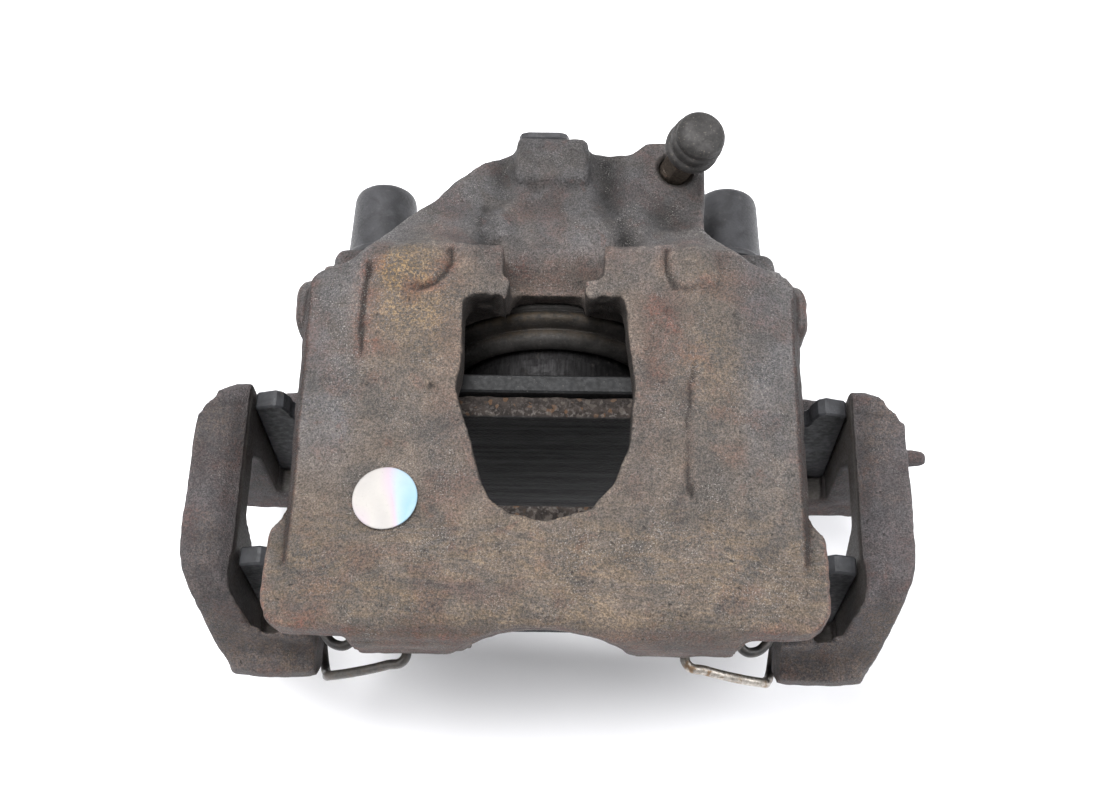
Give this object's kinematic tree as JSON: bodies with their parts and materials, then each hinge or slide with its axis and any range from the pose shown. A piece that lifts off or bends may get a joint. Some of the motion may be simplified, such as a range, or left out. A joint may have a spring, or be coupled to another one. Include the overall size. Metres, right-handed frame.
{
  "type": "brake caliper",
  "caption": "Floating brake caliper with one piston, its bolt-on carrier bracket, two worn pads, sliding guide pins, wire clips and bleeder.",
  "frame": {"origin": "on the carrier's machined knuckle face, in the mid-plane, on the line through the two carrier bolts", "axes": "+X along the disc's tangent (longest extent), +Y inboard out of the knuckle face along the piston axis, +Z from the bolt line out to the bridge"},
  "size_m": [0.2034, 0.1482, 0.1243],
  "materials": {
    "cast_carrier": "rough cast iron, dark, lightly rusted",
    "cast_housing": "rough cast iron, warm brown-grey, lightly rusted",
    "piston_steel": "ground and plated",
    "rubber": "matte black",
    "plated_steel": "zinc plated, dulled",
    "black_plastic": "matte black",
    "spring_wire": "spring steel with brown tarnish",
    "backplate": "dark grey paint",
    "friction_block": "matte resin-bonded friction material, dusty",
    "shim_sheet": "thin zinc-coated sheet",
    "foil": "plain shiny foil"
  },
  "bodies": {
    "carrier": {"carrier_bracket": "cast_carrier", "guide_pin_left": "plated_steel", "guide_pin_right": "plated_steel"},
    "housing": {"caliper_housing": "cast_housing", "piston_seal": "rubber", "dust_boot": "rubber", "guide_bushing_left": "rubber", "guide_bushing_right": "rubber", "guide_cap_left": "black_plastic", "guide_cap_right": "black_plastic", "hose_port_plug": "black_plastic", "retaining_clip_left": "spring_wire", "retaining_clip_right": "spring_wire", "foil_dot": "foil"},
    "piston": {"piston": "piston_steel"},
    "inner_pad": {"inner_pad_backplate": "backplate", "inner_pad_friction": "friction_block", "inner_pad_shim": "shim_sheet", "inner_pad_clip": "spring_wire"},
    "outer_pad": {"outer_pad_backplate": "backplate", "outer_pad_friction": "friction_block", "outer_pad_shim": "shim_sheet"},
    "bleeder": {"bleeder_screw": "plated_steel"},
    "bleeder_cap": {"bleeder_cap": "rubber"}
  },
  "joints": [
    {"name": "housing_slide", "type": "slide", "parent": "carrier", "child": "housing", "axis": [0, 1, 0], "range_m": [-0.001, 0.005]},
    {"name": "piston_stroke", "type": "slide", "parent": "housing", "child": "piston", "axis": [0, -1, 0], "range_m": [-0.002, 0.01]},
    {"name": "inner_pad_slide", "type": "slide", "parent": "carrier", "child": "inner_pad", "axis": [0, -1, 0], "range_m": [-0.001, 0.005]},
    {"name": "outer_pad_slide", "type": "slide", "parent": "carrier", "child": "outer_pad", "axis": [0, 1, 0], "range_m": [-0.001, 0.005]},
    {"name": "bleeder_turn", "type": "hinge", "parent": "housing", "child": "bleeder", "pos_m": [0.0331, 0.0459, 0.085], "axis": [0.2341, -0.158, 0.9593], "range_deg": [0, 180]},
    {"name": "bleeder_cap_pull", "type": "slide", "parent": "bleeder", "child": "bleeder_cap", "axis": [0.2341, -0.158, 0.9593], "range_m": [0, 0.02]}
  ],
  "couplings": [
    {"joint": "piston_stroke", "follows": "housing_slide", "ratio": 2},
    {"joint": "inner_pad_slide", "follows": "housing_slide", "ratio": 1},
    {"joint": "outer_pad_slide", "follows": "housing_slide", "ratio": 1}
  ]
}
